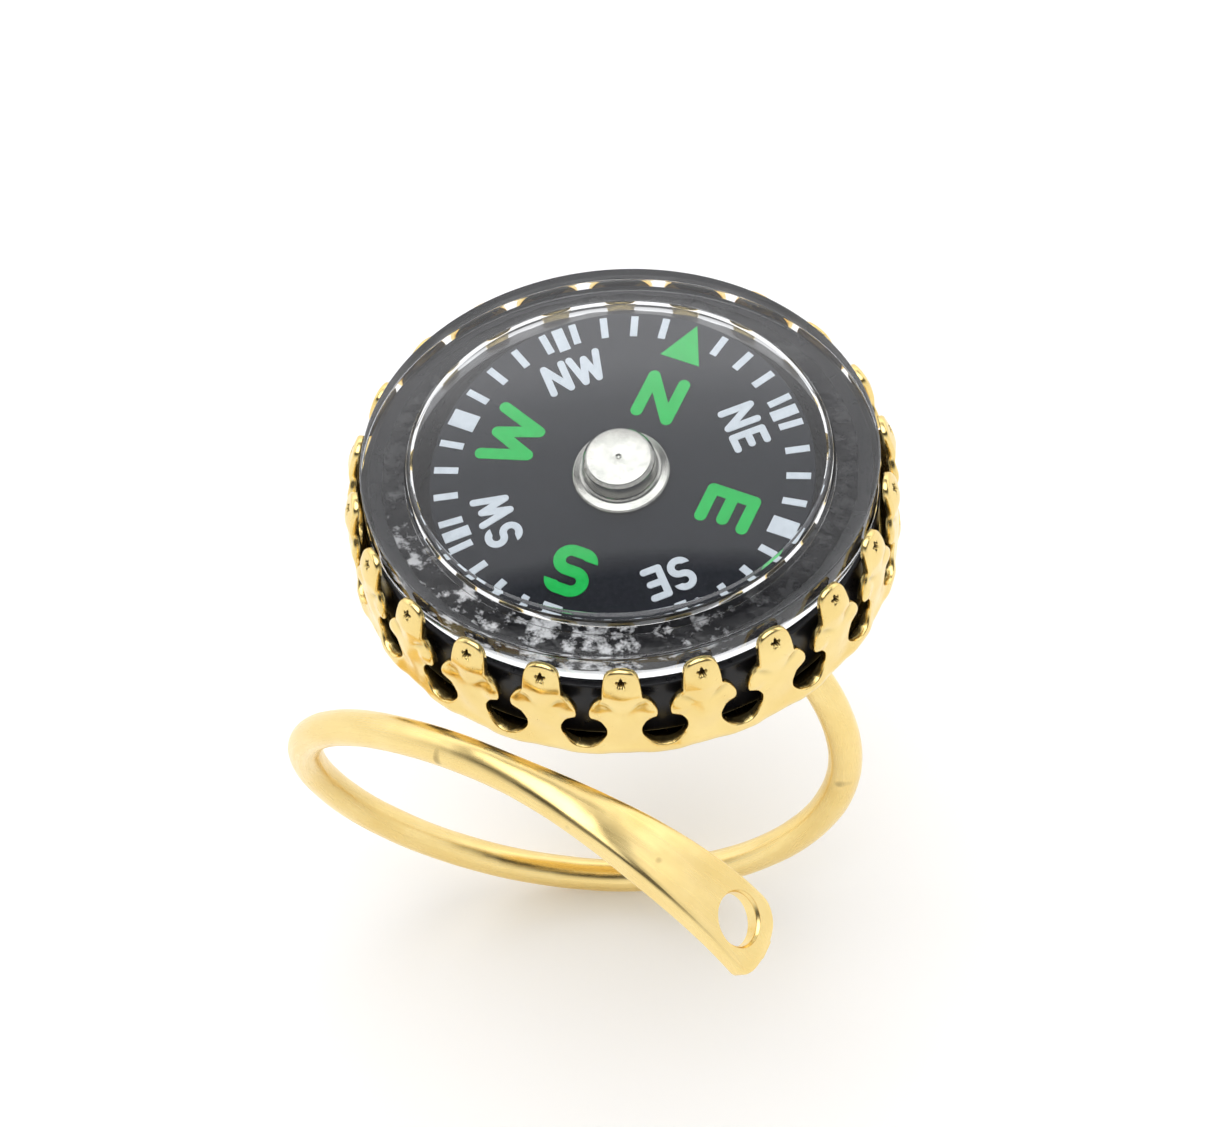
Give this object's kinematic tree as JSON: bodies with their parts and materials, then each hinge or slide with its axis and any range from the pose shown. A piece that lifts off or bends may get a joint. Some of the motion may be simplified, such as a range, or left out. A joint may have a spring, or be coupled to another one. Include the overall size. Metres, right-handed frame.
{
  "type": "compass ring",
  "caption": "Adjustable gold wire finger ring with a drilled paddle end, carrying a small dry compass with a lettered dial in a crown-edged cup.",
  "frame": {"origin": "centre of the finger hole, straight below the middle of the compass", "axes": "+Z along the axis of the compass towards its lens; +Y along the axis of the finger hole, away from the drilled paddle; +X to the right of both"},
  "size_m": [0.0227, 0.0263, 0.0259],
  "materials": {
    "gold_wire": "satin drawn wire, gold plated",
    "gold_sheet": "stamped sheet, gold plated, bright edges",
    "solder": "smooth soft solder",
    "adhesive": "cured clear adhesive",
    "black_case": "moulded, glossy black",
    "cement": "black cement bead",
    "clear_lens": "clear moulded acrylic",
    "pin_steel": "hardened, ground",
    "card": "matt charcoal",
    "white_ink": "screen printed",
    "green_ink": "screen printed",
    "cap_metal": "turned and polished",
    "jewel": "polished synthetic ruby",
    "magnet": "hard magnetic steel",
    "washer_brass": "stamped, plain"
  },
  "bodies": {
    "root": {"ring_band": "gold_wire", "solder_joint": "solder", "crown_setting": "gold_sheet", "adhesive_bed": "adhesive", "compass_case": "black_case", "lens_cement": "cement", "compass_lens": "clear_lens", "pivot_pin": "pin_steel"},
    "dial": {"dial_card": "card", "dial_print_white": "white_ink", "dial_print_green": "green_ink", "pivot_cap": "cap_metal", "pivot_jewel": "jewel", "needle_magnet": "magnet", "magnet_washer": "washer_brass"}
  },
  "joints": [
    {"name": "card_spin", "type": "hinge", "parent": "root", "child": "dial", "pos_m": [0, 0, 0.01445], "axis": [0.0258, -0.163, 0.9863], "continuous": true}
  ]
}
